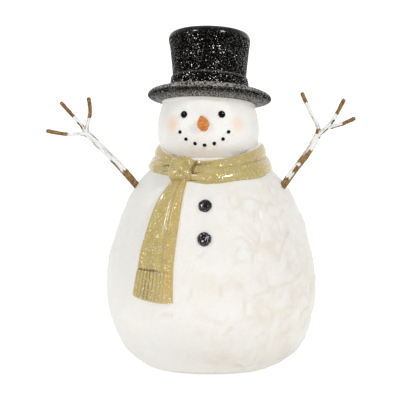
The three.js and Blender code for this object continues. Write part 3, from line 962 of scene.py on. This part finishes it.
# %% The tail's relief
TAIL_LEFT = [(-23.2, 168), (-28.4, 157), (-33.1, 141), (-36, 110), (-36.8, 93), (-40, 69.5)]
TAIL_RIGHT = [(-13.6, 168), (-14.2, 154), (-14.6, 139), (-15.2, 107), (-15.6, 90), (-15.9, 62.5)]
TAIL_THICK = 4.0
HEM = 0.8                      # share of the way down where the fringe starts
FRINGE_CORDS, FRINGE_SUNK, HEM_STEP = 11, 0.7, 1.1


def tail_relief(u, v):
    """Height over the chest in millimetres, and how much painted shade the spot gets (0 to 1).
    """
    fan = math.exp(-v * 3.2)
    folds = 0.4 * fan * math.cos(2 * math.pi * (u * 2.6 - 0.1))
    ridge_at = 0.76 + 0.05 * v
    ridge = 0.95 * hump(u, ridge_at, 0.06) * eased(v, 0.1, 0.35)
    gutter = 0.45 * hump(u, ridge_at - 0.12, 0.05)
    body_folds = 0.4 * math.cos(2 * math.pi * (u * 1.4 + 0.3 * v)) * (1 - fan)
    height = TAIL_THICK + folds + body_folds + ridge - gutter * eased(v, 0.05, 0.25)
    # painted shade: the gutter beside the ridge and the troughs of the folds are darkened, and
    # below, the fringe grooves and the hem step
    crease = 0.5 * gutter + max(0.0, -folds)
    if v > HEM:
        cord = math.cos(2 * math.pi * FRINGE_CORDS * (u + 0.01 * math.sin(20 * v)))
        lively = 0.35 + 0.65 * hump(u, 0.36, 0.22)
        cut = lively * max(0.0, -cord) ** 0.7
        height = TAIL_THICK - FRINGE_SUNK + 0.6 * cord * lively + 0.5 * math.cos(3 * u)
        crease = 0.7 * cut
    step = hump(v, HEM + 0.008, 0.007) * (1 - 0.75 * eased(u, 0.45, 0.8))
    height -= HEM_STEP * step
    return height, min(1.0, crease + 0.9 * step)


def tail_point(u, v, off):
    """The place at a share across and down the tail, a height off the chest."""
    low, high = through(TAIL_LEFT, v), through(TAIL_RIGHT, v)
    azimuth, z = low + (high - low) * u
    z += eased(v, 0.85, 1) * (1.8 * u**4 - 1.3 * math.sin(math.pi * u))   # a rounded end
    r = radius_at(body_line, z)
    n = Vector((1, -slope_at(body_line, z))).normalized()
    return around(azimuth, r + n.x * off, z + n.y * off)


# %% Build the tail
TAIL_COLUMNS, TAIL_ROWS = 72, 150


def lay_tail(p):
    """Lays a grid's vertex (from -1 to 1, its third value 1 in front, 0 behind) on the chest.
    Also gives the painted shade of its creases, how warm its gold is, and how bare of gold it
    is."""
    u, v = (p.x + 1) / 2, (1 - p.y) / 2
    if p.z < 0.5:
        widened = 0.5 + (u - 0.5) * (1.03 if u < 0.5 else 1.17)
        return tail_point(widened, v, -0.2), 0.0, 0.0, 1.0
    wide = 22 + 18 * v
    rim = min(u, 1 - u) * wide, min(v + 0.2, 1 - v) * 100
    fall = sum(1.3 * (1 - min(r / 1.6, 1.0)) ** 2 for r in rim)
    height, crease = tail_relief(u, v)
    warm = 0.5 * hump(u, 0.9, 0.1) + 0.25 * crease
    return tail_point(u, v, height - fall), crease, warm, 0.0


bm = bmesh.new()
loops = []
for depth in (1, 0):
    grid = bmesh.ops.create_grid(bm, x_segments=TAIL_COLUMNS, y_segments=TAIL_ROWS, size=1,
                                 matrix=Matrix.Translation((0, 0, depth)))["verts"]
    loops += [e for e in bm.edges if e.is_boundary and e.verts[0] in set(grid)]
bmesh.ops.bridge_loops(bm, edges=loops)
tail_piece = piece(
    "scarf_tail_cloth", shaped(bm, lay_tail, "crease", "warm", "bare"), scarf_gold, "scarf",
    "scarf_tail", sharp=60)

# %% [markdown]
# ## The carrot nose
#
# The nose is a stubby carrot with its tip turned up. It is spun with faint rolled rings, as
# a modeller would roll them with a thumb, and then tilted upwards and set on the face. The
# paint is orange with darker brushed rings.

# %% Model and paint the nose
NOSE_X, NOSE_Z = -0.6, 214.1
NOSE_UP, NOSE_TURN = math.radians(35), math.radians(-6)
NOSE_OUTLINE = [
    (0, -3), (4.3, -3), (5.0, -0.6), (5.15, 1.2), (4.85, 3.4), (4.35, 5.3), (3.6, 7.2),
    (2.6, 9.2), (1.9, 10.9), (1.1, 12.2), (0, 12.8)]


def lay_nose(p):
    """Rolls faint rings into the carrot, turns it to the front and sets it on the face."""
    rings = 1 + 0.03 * math.sin(p.z * 1.9) + 0.03 * noise.noise(p / 4)
    p.x, p.y = p.x * rings, p.y * rings
    p.rotate(Euler((math.pi / 2 - NOSE_UP, 0, NOSE_TURN)))
    return p + Vector((HEAD_X + NOSE_X, 1 - radius_at(head_line, NOSE_Z), NOSE_Z))


ORANGE, ORANGE_PALE = paint_colour(198, 112, 36), paint_colour(232, 148, 62)
ORANGE_DEEP = paint_colour(170, 86, 26)
carrot = Finish("carrot paint", coat_weight=0.25, coat_roughness=0.3)
rings = carrot.noise(3.2, 3, stretch=(0.5, 1, 1.6))
colour = carrot.mix(rings.ramp(0.3, 0.7), ORANGE, ORANGE_PALE)
colour = carrot.mix(carrot.noise(1.1, 2).ramp(0.55, 0.8) * 0.5, colour, ORANGE_DEEP)
carrot.paint(base_color=colour, roughness=0.45 + rings * 0.15, normal=carrot.bump(rings, 0.35))
piece("nose_carrot", shaped(turned(smooth_line(NOSE_OUTLINE, 44), 64), lay_nose),
      carrot, "nose", "nose")

# %% [markdown]
# ## Beads: the eyes and the smile
#
# Each eye and each dot of the smile is a drop of black gloss paint that stands proud of the
# face. One turned dome serves them all. It is laid flat on the curve of the face, and every
# drop is a little out of round in its own way, as paint drops are.

# %% A dome laid on a turned surface
def dome(radius, bulge, line, centre_x, azimuth, z, turns, rings, wobble):
    """A bmesh of a domed drop whose flat back lies on a turned surface."""
    profile = [(0, 0), (radius * 0.9, 0), (radius, bulge * 0.2), (radius * 0.93, bulge * 0.5),
               (radius * 0.7, bulge * 0.82), (radius * 0.36, bulge * 0.97), (0, bulge)]
    surface = radius_at(line, z)
    lean = math.atan(slope_at(line, z))
    stand = Euler((math.pi / 2 + lean, 0, math.radians(azimuth)))
    seat = around(azimuth, surface + 0.1, z) + Vector((centre_x, 0, 0))

    def lay(p):
        turn = math.atan2(p.y, p.x)
        grown = 1 + wobble * math.sin(2 * turn + z) + wobble * 0.6 * math.sin(3 * turn + azimuth)
        back = (p.x ** 2 + p.y ** 2) / (2 * surface) + 0.35  # the drop follows the curve
        p = Vector((p.x * grown, p.y * grown, p.z - back + 0.35))
        p.rotate(stand)
        return p + seat

    return shaped(turned(smooth_line(profile, rings), turns), lay)


bead_gloss = Finish("bead gloss", coat_weight=0.28, coat_roughness=0.06, shine=0.03)
patchy = bead_gloss.noise(1.5, 2)
bead_gloss.paint(
    base_color=bead_gloss.mix(patchy, paint_colour(5, 5, 5), paint_colour(14, 14, 13)),
    roughness=0.14 + patchy * 0.12, normal=bead_gloss.bump(patchy, 0.05))

# %% Set the eyes and the smile
EYE_RADIUS, EYE_BULGE, EYE_Z = 3.1, 1.7, 223.7
EYES = {"left": -24.0, "right": 19.9}
DOT_RADIUS, DOT_BULGE = 1.65, 1.0
SMILE = [(-28.2, 208.6), (-21.3, 202.4), (-10.8, 198.6), (0.3, 197.1), (11.4, 198.6),
         (21.3, 202.4), (27.3, 208.6)]
for side, azimuth in EYES.items():
    eye = dome(EYE_RADIUS, EYE_BULGE, head_line, HEAD_X, azimuth, EYE_Z, 48, 20, 0.02)
    piece(f"eye_{side}_bead", eye, bead_gloss, "beads", f"eye_{side}")
for number, (azimuth, z) in enumerate(SMILE, 1):
    dot = dome(DOT_RADIUS, DOT_BULGE, head_line, HEAD_X, azimuth, z, 28, 12, 0.045)
    piece(f"mouth_{number}_bead", dot, bead_gloss, "beads", f"mouth_{number}")

# %% [markdown]
# ## The buttons
#
# The two buttons are lumps of coal with glitter: domes a bit larger and rougher than the
# beads, with dents pressed in them and one small flat on the upper one. They get a glitter
# paint with bigger flakes than the hat's.

# %% Model and paint the buttons
BUTTONS = {"upper": (5.6, 145), "lower": (6.0, 117.3)}
GRIT = {"upper": 0.3, "lower": 1.0}       # the upper one took less glitter
BUTTON_FLAKES = {"upper": 5, "lower": 18}
BUTTON_AZIMUTH, BUTTON_BULGE = 0.8, 4.0
GLINT = Vector((-0.265, -0.904, 0.335)).normalized()   # where the flat on the upper one faces
FLAT_DEEP = 0.08
coal = Finish("button glitter", coat_weight=0.8, coat_roughness=0.06, shine=0.1)
held, leaning = coal.flakes(0.9, 0.28, 0.5)
held = held * coal.mask("grit")
lumps = coal.noise(3.0, 3)
coal.paint(
    base_color=coal.mix(held, paint_colour(8, 8, 9), paint_colour(88, 88, 90)),
    metallic=held * 0.9, roughness=0.36 - held * 0.16, normal=coal.bump(lumps, 0.4, leaning))
button_pieces = []
for place, (radius, z) in BUTTONS.items():
    button = dome(radius, BUTTON_BULGE, body_line, 0, BUTTON_AZIMUTH, z, 64, 26, 0.02)
    centre = around(BUTTON_AZIMUTH, radius_at(body_line, z), z)
    grit = button.verts.layers.float.new("grit")
    for v in button.verts:
        lump = noise.fractal(v.co / 3.5, 1.0, 2.0, 2)
        v.co += (v.co - centre).normalized() * 0.35 * lump
        v[grit] = GRIT[place]
    if place == "upper":                           # a flat was pressed on it
        top = max((v.co - centre).dot(GLINT) for v in button.verts)
        for v in button.verts:
            v.co -= GLINT * max(0.0, (v.co - centre).dot(GLINT) - top + FLAT_DEEP)
    button_pieces.append(
        piece(f"button_{place}_dome", button, coal, "buttons", f"button_{place}"))

# %% [markdown]
# ## Bark and snow paint for the twigs
#
# The arms are moulded twigs. They were painted bark brown, and then white snow was dabbed
# over them, which left bare brown at the foot of each stem, on the tips, and in streaks
# where the brush missed. How bare each spot is travels with the mesh as "bark", and the
# finish adds the grain and ragged edges.

# %% Mix the bark
BARK_DEEP, BARK_PALE = paint_colour(92, 61, 25), paint_colour(166, 128, 68)
TWIG_SNOW, TWIG_GREY = paint_colour(238, 238, 235), paint_colour(160, 154, 148)
bark = Finish("bark and snow", coat_weight=0.1, coat_roughness=0.4)
grain = bark.noise(1.3, 4, stretch=(1, 1, 0.45))
brown = bark.mix(grain.ramp(0.3, 0.72), BARK_DEEP, BARK_PALE)
streak = bark.mask("streak")
ragged = bark.mask("bark") + (bark.noise(2.6, 4) - 0.5) * 0.5 + (streak - 0.5) * 0.5
ragged = ragged.ramp(0.42, 0.56)
missed = (streak + (bark.noise(1.8, 3) - 0.5) * 0.7).ramp(0.62, 0.9) * 0.75
dabbed = bark.mix(missed, TWIG_SNOW, TWIG_GREY)
bark.paint(base_color=bark.mix(ragged, dabbed, brown), roughness=0.72 - grain * 0.15,
           normal=bark.bump(grain, 0.35))
print("bark and snow:", len(bark.tree.nodes), "nodes")

# %% [markdown]
# ## The twig arms
#
# A twig is a row of circles along a smooth route, joined by `bridge_loops`. A stem and its
# three twigs overlap at the forks, and a voxel remesh fuses them into one skin, with a web
# of bark in each fork as on a real branch. Knuckles and a slanting bark grain are then
# pushed into the skin by noise that runs along the nearest route.

# %% The routes of the twigs
TWIG_RADIUS = 1.85
ARMS = {
    "left": {
        "stem": STEMS["left"],
        "outer": [
            (-107.5, -15, 207.6), (-115, -16.5, 208.6), (-126, -19.5, 208), (-143, -25, 210.8)],
        "middle": [
            (-107.8, -15, 207.8), (-112, -14.5, 214), (-120.5, -11, 223.4), (-133.6, -6, 237)],
        "inner": [
            (-108, -15, 208), (-108.4, -15, 215), (-105.3, -17, 227), (-106.4, -19, 240.4)]},
    "right": {
        "stem": STEMS["right"],
        "inner": [
            (95.2, -15, 207.4), (94.4, -14.5, 215), (88.5, -12.5, 226.6), (80.7, -8, 244.2)],
        "middle": [
            (95.6, -15, 207), (103, -16, 213.6), (109.4, -17, 221.8), (117.9, -19, 237.8)],
        "outer": [
            (103.4, -15.5, 213.2), (110.4, -18, 214.6), (118.2, -21, 216.8), (127, -25, 220.8)]}}
# Where each twig is bare bark: from and to as shares of its length, and the side of it that
# is bare as a direction (none where it is bare all round).
ALL_ROUND = (0, 0, 0)
BARE = {
    ("left", "stem"): [(-0.4, 0.33, ALL_ROUND), (0.2, 0.52, (-1, 0, -1)),
                       (0.82, 0.98, (1, 0.7, 1))],
    ("left", "outer"): [(0.5, 1.1, ALL_ROUND)],
    ("left", "middle"): [(0.08, 0.24, (1, 0, 0.2)), (0.18, 0.34, (-1, -0.6, -0.5)),
                         (0.52, 1.1, ALL_ROUND)],
    ("left", "inner"): [(0.46, 1.1, ALL_ROUND)],
    ("right", "stem"): [(-0.4, 0.22, ALL_ROUND), (0.2, 0.72, (1, 0, -0.7)),
                        (0.34, 0.44, (0.6, -0.8, -0.4)), (0.5, 0.58, (0.1, -1, 0)),
                        (0.56, 0.72, (0.7, -0.7, -0.4)), (0.93, 1.1, (1, 0, -1))],
    ("right", "inner"): [(0.0, 0.1, ALL_ROUND), (0.75, 1.1, ALL_ROUND)],
    ("right", "middle"): [(0.1, 0.3, (1, 0, -1)), (0.36, 0.48, (1, -0.6, -0.5)),
                          (0.62, 1.1, ALL_ROUND)],
    ("right", "outer"): [(0.1, 0.56, (0.3, 0, -1)), (0.55, 1.1, ALL_ROUND)]}
STEM_STEPS, TWIG_STEPS, TWIG_SIDES = 30, 26, 14
SEEN_DEPTH = 6.0   # how far the visible stem goes into its socket


def twig_rod(route, radii):
    """A closed bmesh tube along a route, with a radius at each of its points."""
    bm = bmesh.new()
    rims = []
    for k, (at, radius) in enumerate(zip(route, radii)):
        onward = Vector(route[min(k + 1, len(route) - 1)]) - Vector(route[max(k - 1, 0)])
        ring = bmesh.ops.create_circle(bm, cap_ends=False, segments=TWIG_SIDES, radius=radius,
                                       matrix=standing(Vector(at), onward))["verts"]
        rims.append([e for e in bm.edges if e.verts[0] in ring and e.verts[1] in ring])
    for a, b in zip(rims, rims[1:]):
        bmesh.ops.bridge_loops(bm, edges=a + b)
    bmesh.ops.holes_fill(bm, edges=[e for e in bm.edges if e.is_boundary], sides=0)
    bmesh.ops.recalc_face_normals(bm, faces=bm.faces)
    return bm


def arm_routes(side):
    """Each twig's route and radii, the stem's carried into its socket."""
    routes = {}
    for name, points in ARMS[side].items():
        if name == "stem":
            inward = (Vector(points[0]) - Vector(points[1])).normalized() * SEEN_DEPTH
            points = [tuple(Vector(points[0]) + inward), *points]
        steps = STEM_STEPS if name == "stem" else TWIG_STEPS
        route = smooth_line(points, steps)
        along = np.linspace(0, 1, steps + 1)
        if name == "stem":
            radii = STEM_RADIUS * (1.16 - 0.06 * along)
        else:
            narrowed = np.array([eased(v, 0, 0.35) for v in along])
            radii = TWIG_RADIUS * (1.22 - 0.34 * narrowed + 0.12 * along)
            radii[-1] *= 0.72
        routes[name] = route, radii
    return routes


# %% Fuse a stem and its twigs
VOXEL = 0.42


def fused(routes):
    """One skin round a stem and its twigs, as a bmesh."""
    trunk = bmesh.new()
    for route, radii in routes.values():
        rod = twig_rod(route, radii)
        rod_mesh = bpy.data.meshes.new("rod")
        rod.to_mesh(rod_mesh)
        rod.free()
        trunk.from_mesh(rod_mesh)
        bpy.data.meshes.remove(rod_mesh)
    skin = as_object("arm rods", trunk)
    fuse = skin.modifiers.new("fuse", "REMESH")
    fuse.mode, fuse.voxel_size = "VOXEL", VOXEL
    arm = settled(skin)
    bmesh.ops.smooth_vert(arm, verts=arm.verts, factor=0.5, use_axis_x=True, use_axis_y=True,
                          use_axis_z=True)
    return arm


def bareness(side, name, share, out):
    """How bare of snow a spot is, at a share of a twig's length on the side that faces out."""
    return max(
        min(eased(share, a - 0.05, a + 0.03), 1 - eased(share, b - 0.03, b + 0.05))
        * (1 if facing == ALL_ROUND else eased(out.dot(Vector(facing).normalized()), 0.1, 0.8))
        for a, b, facing in BARE[side, name])


# %% Grow the bark
def grow_bark(arm, side, routes):
    """Pushes knuckles and a slanting grain into an arm's skin and fills its two masks."""
    bark_mask = arm.verts.layers.float.new("bark")
    streak_mask = arm.verts.layers.float.new("streak")
    lines = {name: np.array(route) for name, (route, _) in routes.items()}
    for v in arm.verts:
        gaps = {name: ((line - np.array(v.co)) ** 2).sum(1) for name, line in lines.items()}
        name = min(gaps, key=lambda each: gaps[each].min())
        line, k = lines[name], int(gaps[name].argmin())
        onward = Vector(line[min(k + 1, len(line) - 1)]) - Vector(line[max(k - 1, 0)])
        off = v.co - Vector(line[k])
        past = off.dot(onward) / onward.length_squared
        out = (off - onward * past).normalized()
        k += 2 * past                              # onward is two steps long
        knuckles = noise.noise(Vector((k * 0.35, len(name), 3 if side == "left" else 9)))
        x, y, z = v.co
        slanted = noise.fractal(Vector((x - z, y * 1.5, (x + z) * 0.35)) / 2.4, 1.0, 2.0, 2)
        v.co += out * (0.22 * knuckles + 0.20 * slanted)
        v[streak_mask] = 0.5 + noise.fractal(
            Vector((k * 0.14, out.dot(onward.orthogonal()), out.y * 1.8)), 1.0, 2.0, 3)
        v[bark_mask] = bareness(side, name, k / (len(line) - 1), out)
    return arm


for side, twigs in ARMS.items():
    routes = arm_routes(side)
    piece(f"arm_{side}_branch", grow_bark(fused(routes), side, routes), bark, "bark",
          *[f"arm_{side}_stem" if n == "stem" else f"arm_{side}_twig_{n}" for n in twigs])

# %% [markdown]
# ## Loose glitter
#
# Among the fine glitter lie bigger flakes, half a millimetre and more across. These are
# real geometry: small closed hexagons, scattered by area over a piece's own surface with
# seeded dice, each leaning its own way. All the flakes of one piece are joined in one mesh.

# %% Paint and cut a flake
def flake_finish(name, pale, deep, metallic, roughness, **constants):
    """The finish of loose flakes, in a colour that changes a little from place to place."""
    finish = Finish(name, **constants)
    tone = finish.noise(2.0, 1)
    finish.paint(base_color=finish.mix(tone, pale, deep), roughness=roughness + tone * 0.1)
    if metallic:
        finish.paint(metallic=metallic + tone * 0.1)
    return finish


flake_silver = flake_finish("flake silver", (0.95, 0.95, 0.95), (0.82, 0.83, 0.85), 0.5, 0.3)
flake_gold = flake_finish("flake pale gold", (0.97, 0.96, 0.92), (0.93, 0.9, 0.8), 0.6, 0.3)
flake_clear = flake_finish(
    "flake clear", paint_colour(250, 250, 248), paint_colour(240, 240, 238), 0, 0.2,
    coat_weight=0.6, coat_roughness=0.1)
FLAKE_THICK = 0.1
flake = bmesh.new()
bmesh.ops.create_cone(flake, cap_ends=True, segments=6, radius1=1, radius2=1, depth=FLAKE_THICK)
FLAKE_POINTS = [tuple(v.co) for v in flake.verts]
FLAKE_FACES = [[v.index for v in f.verts] for f in flake.faces]
flake.free()
print("a flake:", len(FLAKE_FACES), "faces")


# %% Scatter the flakes
def scatter(name, source, slot, finish, count, size, lean, keep=lambda place, facing: 1.0):
    """Lays count flakes of about a size over a piece. keep gives the chance that a flake at a
    place (in millimetres) with an outward direction stays."""
    dice = np.random.default_rng(len(name) * 7 + count)
    mesh = source.data
    mesh.calc_loop_triangles()
    points = np.array([v.co for v in mesh.vertices]) / MM
    corners = points[[list(t.vertices) for t in mesh.loop_triangles]]
    normals = np.cross(corners[:, 1] - corners[:, 0], corners[:, 2] - corners[:, 0])
    # The triangles and their corners can come in another order each run: sort both by place.
    corners = np.array([sorted(triangle) for triangle in corners.round(3).tolist()])
    order = sorted(range(len(corners)), key=lambda k: corners[k].tolist())
    corners, normals = corners[order], normals[order]
    reach = np.cumsum(np.linalg.norm(normals, axis=1))
    laid = []
    while len(laid) < count:
        k = min(int(np.searchsorted(reach, dice.uniform(0, reach[-1]))), len(reach) - 1)
        a, b = sorted(dice.uniform(size=2))
        at = Vector(corners[k][0] * a + corners[k][1] * (b - a) + corners[k][2] * (1 - b))
        facing = Vector(normals[k]).normalized()
        radius = size * dice.uniform(0.7, 1.25) / 2
        tip = facing + Vector(dice.uniform(-lean, lean, 3))
        if dice.uniform() > keep(at, facing):
            continue
        set_down = standing(at + facing * FLAKE_THICK, tip)
        laid.append([set_down @ Vector((x * radius, y * radius, z)) for x, y, z in FLAKE_POINTS])
    many = bpy.data.meshes.new("flakes")
    many.from_pydata(
        [p for flake in laid for p in flake], [],
        [[i + n * len(FLAKE_POINTS) for i in f] for n in range(count) for f in FLAKE_FACES])
    bm = bmesh.new()
    bm.from_mesh(many)
    bpy.data.meshes.remove(many)
    return piece(name, bm, finish, slot, sharp=30)


def mid_crown(place, facing):
    """More flakes on the middle of the crown's front than on its sides and the brim."""
    front = eased(-facing.y, 0.3, 1.0)
    return 0.12 + 0.88 * front * eased(place.z, 240, 252) * (1 - 0.85 * eased(place.z, 278, 288))


scatter("hat_flakes", hat_piece, "hat", flake_silver, 230, 0.7, 0.6, mid_crown)
scatter("band_flakes", band_piece, "hat", flake_silver, 340, 0.75, 0.5,
        lambda place, facing: 0.3 + 0.7 * eased(-facing.y, 0.5, 1.0) * (place.x < 12))
scatter("wrap_flakes", wrap_piece, "scarf", flake_gold, 520, 0.7, 0.45,
        lambda place, facing: eased(math.hypot(place.x, place.y), 46, 52))
scatter("knot_flakes", knot_piece, "scarf", flake_gold, 70, 0.7, 0.45)
scatter("tail_flakes", tail_piece, "scarf", flake_gold, 420, 0.8, 0.45,
        lambda place, facing: 0.35 + 0.65 * eased(150 - place.z, 0, 70))
scatter("body_flakes", body_piece, "snow", flake_clear, 1500, 0.6, 0.35,
        lambda place, facing: float(place.z > 3 and facing.z < 0.9))
scatter("body_sparks", body_piece, "snow", flake_silver, 240, 0.55, 0.25,
        lambda place, facing: float(place.z > 12 and facing.z < 0.8))
scatter("head_flakes", head_piece, "snow", flake_clear, 120, 0.45, 0.3,
        lambda place, facing: float(190 < place.z < 232))
for place, made in zip(BUTTONS, button_pieces):
    scatter(f"button_{place}_flakes", made, "buttons", flake_silver,
            BUTTON_FLAKES[place], 0.7, 0.6)

# %% [markdown]
# ## Compare the size
#
# The looks are meant to stay close to the engineering model's box, so this step prints how
# far they have grown past it on each side, in millimetres.

# %% Compare the boxes
low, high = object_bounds()
grown = [*(Vector(cad_low) - Vector(low)), *(Vector(high) - Vector(cad_high))]
print("grown by, in mm:", [round(v / MM, 2) for v in grown])
